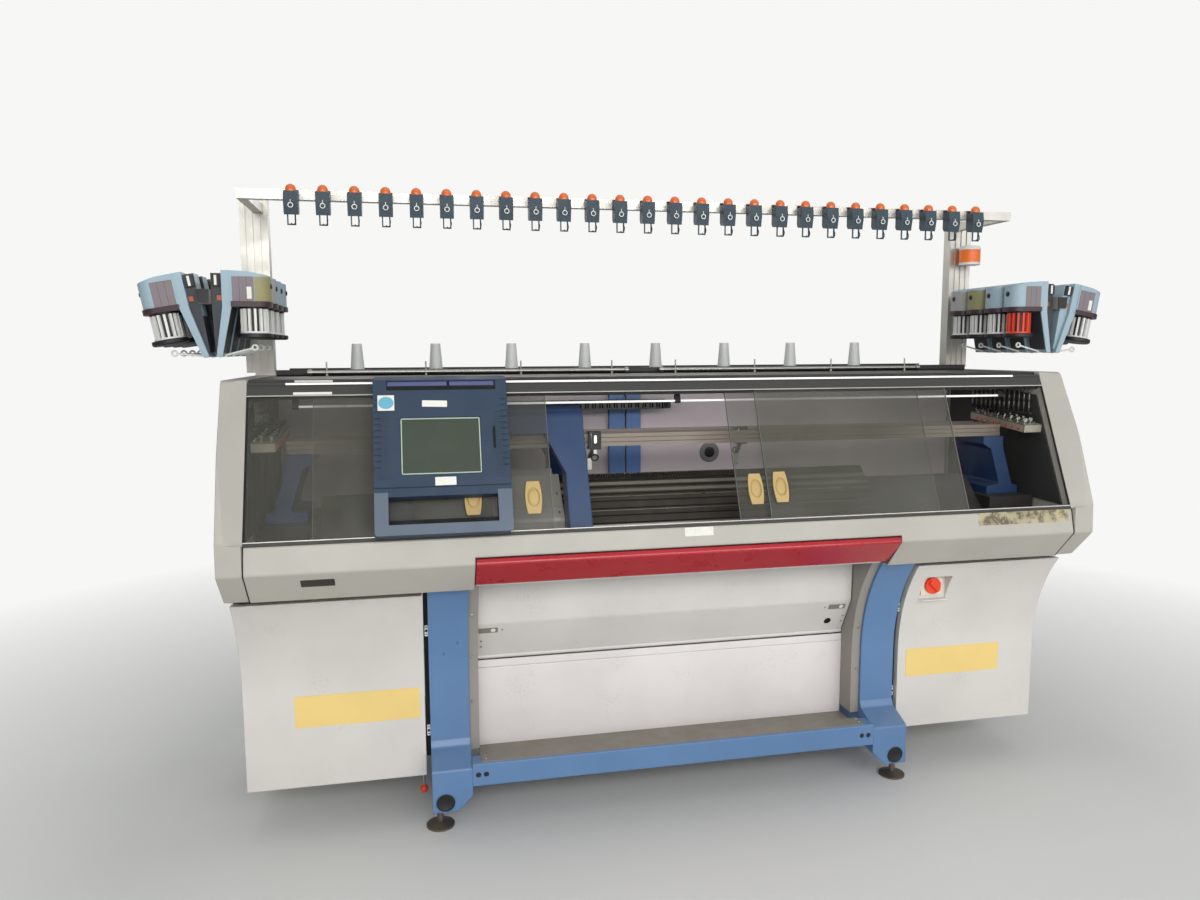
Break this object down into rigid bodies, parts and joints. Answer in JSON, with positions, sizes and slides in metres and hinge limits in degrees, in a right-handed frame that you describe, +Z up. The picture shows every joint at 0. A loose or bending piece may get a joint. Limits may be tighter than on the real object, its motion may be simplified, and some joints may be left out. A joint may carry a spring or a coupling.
{
  "type": "flat knitting machine",
  "caption": "Long floor-standing flat knitting machine with sliding smoked covers, a control terminal, end cabinets and a yarn supply frame on top.",
  "frame": {"origin": "on the floor, in the middle of the overall length and depth", "axes": "+X along the machine to the operator's right, +Y away from the operator, +Z up"},
  "size_m": [3.1362, 0.9322, 1.996],
  "materials": {
    "cover_paint": "satin light grey",
    "panel_white": "satin off-white",
    "blue_paint": "satin blue",
    "deep_blue": "fine-grained slate blue moulding",
    "hood_blue": "satin slate blue",
    "dark_paint": "dull dark grey",
    "mid_paint": "dull mid grey",
    "steel": "brushed",
    "alu": "anodised",
    "cast": "machined and painted dark",
    "chrome": "polished",
    "rubber": "dull black",
    "black_plastic": "black",
    "red": "gloss red",
    "orange": "translucent orange",
    "smoked": "smoked clear sheet",
    "screen": "grey-green screen, switched off",
    "clear_plastic": "milky clear",
    "light_blue": "light blue moulding",
    "white_plastic": "white",
    "teal_plastic": "dark blue-grey moulding"
  },
  "bodies": {
    "machine": {"side_frame_left": "blue_paint", "side_frame_right": "blue_paint", "cross_beams": "blue_paint", "levelling_feet": "steel", "machine_bed": "cast", "cabinet_left": "cover_paint", "cabinet_right": "cover_paint", "electronics_rack": "mid_paint", "suction_unit": "mid_paint", "front_apron": "cover_paint", "bar_rail": "alu", "fabric_tray": "mid_paint", "takedown_panel": "panel_white", "inner_side_walls": "mid_paint", "end_cover_left": "cover_paint", "end_cover_right": "cover_paint", "sill_rail": "dark_paint", "top_rail": "dark_paint", "roof": "dark_paint", "rear_covers": "cover_paint", "inner_rear_wall": "cover_paint", "rear_posts": "blue_paint", "needle_beds": "steel", "carriage_rails": "steel", "feeder_rails": "alu", "rail_brackets": "hood_blue", "tension_plates": "dark_paint", "tension_knobs": "chrome", "cable_chain": "black_plastic", "bobbin_board": "mid_paint", "bobbin_discs": "black_plastic", "bobbin_cones": "clear_plastic", "guard_tubes": "steel", "uprights": "alu", "control_rail": "alu", "yarn_controls": "teal_plastic", "control_lamps": "orange", "beacon": "orange", "feeder_bars": "alu", "feeder_housings": "light_blue", "feeder_guides": "light_blue", "feeder_wheels": "white_plastic"},
    "door_left": {"door_left": "cover_paint"},
    "door_right": {"door_right": "cover_paint"},
    "switch_knob": {"switch_knob": "red"},
    "stop_bar": {"stop_bar": "red"},
    "takedown_cover": {"takedown_cover": "panel_white"},
    "takedown_roller": {"takedown_roller": "rubber"},
    "cover_left_end": {"cover_left_end": "smoked"},
    "cover_left_mid": {"cover_left_mid": "smoked"},
    "cover_right_mid": {"cover_right_mid": "smoked"},
    "cover_right_end": {"cover_right_end": "smoked"},
    "terminal": {"terminal": "deep_blue", "terminal_screen": "screen"},
    "carriage": {"carriage": "cover_paint", "carriage_hood": "hood_blue"},
    "yarn_feeder_front": {"yarn_feeder_front": "steel"},
    "yarn_feeder_rear": {"yarn_feeder_rear": "steel"},
    "feeder_wheel_left": {"feeder_wheel_left": "white_plastic"},
    "feeder_wheel_right": {"feeder_wheel_right": "white_plastic"}
  },
  "joints": [
    {"name": "door_left_hinge", "type": "hinge", "parent": "machine", "child": "door_left", "pos_m": [-1.333, -0.16985, 0.3], "axis": [0, 0, -1], "range_deg": [0, 95]},
    {"name": "door_right_hinge", "type": "hinge", "parent": "machine", "child": "door_right", "pos_m": [1.333, -0.16985, 0.3], "axis": [0, 0, 1], "range_deg": [0, 95]},
    {"name": "main_switch", "type": "hinge", "parent": "door_right", "child": "switch_knob", "pos_m": [0.903, -0.23385, 0.66], "axis": [0, 1, 0], "range_deg": [0, 90]},
    {"name": "stop_bar_push", "type": "slide", "parent": "machine", "child": "stop_bar", "axis": [0, 1, 0], "range_m": [0, 0.006], "stiffness_N_per_m": 3000, "springref_m": -0.002},
    {"name": "takedown_flap", "type": "hinge", "parent": "machine", "child": "takedown_cover", "pos_m": [0, -0.09085, 0.478], "axis": [1, 0, 0], "range_deg": [0, 75]},
    {"name": "takedown_drive", "type": "hinge", "parent": "machine", "child": "takedown_roller", "pos_m": [0, -0.05885, 0.737], "axis": [1, 0, 0], "continuous": true},
    {"name": "cover_left_end_slide", "type": "slide", "parent": "machine", "child": "cover_left_end", "axis": [1, 0, 0], "range_m": [0, 0.595]},
    {"name": "cover_left_mid_slide", "type": "slide", "parent": "machine", "child": "cover_left_mid", "axis": [1, 0, 0], "range_m": [-0.173, 0.422]},
    {"name": "cover_right_mid_slide", "type": "slide", "parent": "machine", "child": "cover_right_mid", "axis": [1, 0, 0], "range_m": [-0.138, 0.455]},
    {"name": "cover_right_end_slide", "type": "slide", "parent": "machine", "child": "cover_right_end", "axis": [1, 0, 0], "range_m": [-0.232, 0.36]},
    {"name": "terminal_slide", "type": "slide", "parent": "machine", "child": "terminal", "axis": [1, 0, 0], "range_m": [-0.33, 1.8]},
    {"name": "carriage_traverse", "type": "slide", "parent": "machine", "child": "carriage", "axis": [1, 0, 0], "range_m": [-0.27, 1.47]},
    {"name": "yarn_feeder_front_slide", "type": "slide", "parent": "machine", "child": "yarn_feeder_front", "axis": [1, 0, 0], "range_m": [-0.82, 1.34]},
    {"name": "yarn_feeder_rear_slide", "type": "slide", "parent": "machine", "child": "yarn_feeder_rear", "axis": [1, 0, 0], "range_m": [-1.32, 0.83]},
    {"name": "feeder_wheel_left_spin", "type": "hinge", "parent": "machine", "child": "feeder_wheel_left", "pos_m": [-1.2615, -0.13385, 1.55], "axis": [0, 0, 1], "continuous": true},
    {"name": "feeder_wheel_right_spin", "type": "hinge", "parent": "machine", "child": "feeder_wheel_right", "pos_m": [1.2615, -0.13385, 1.55], "axis": [0, 0, 1], "continuous": true}
  ]
}
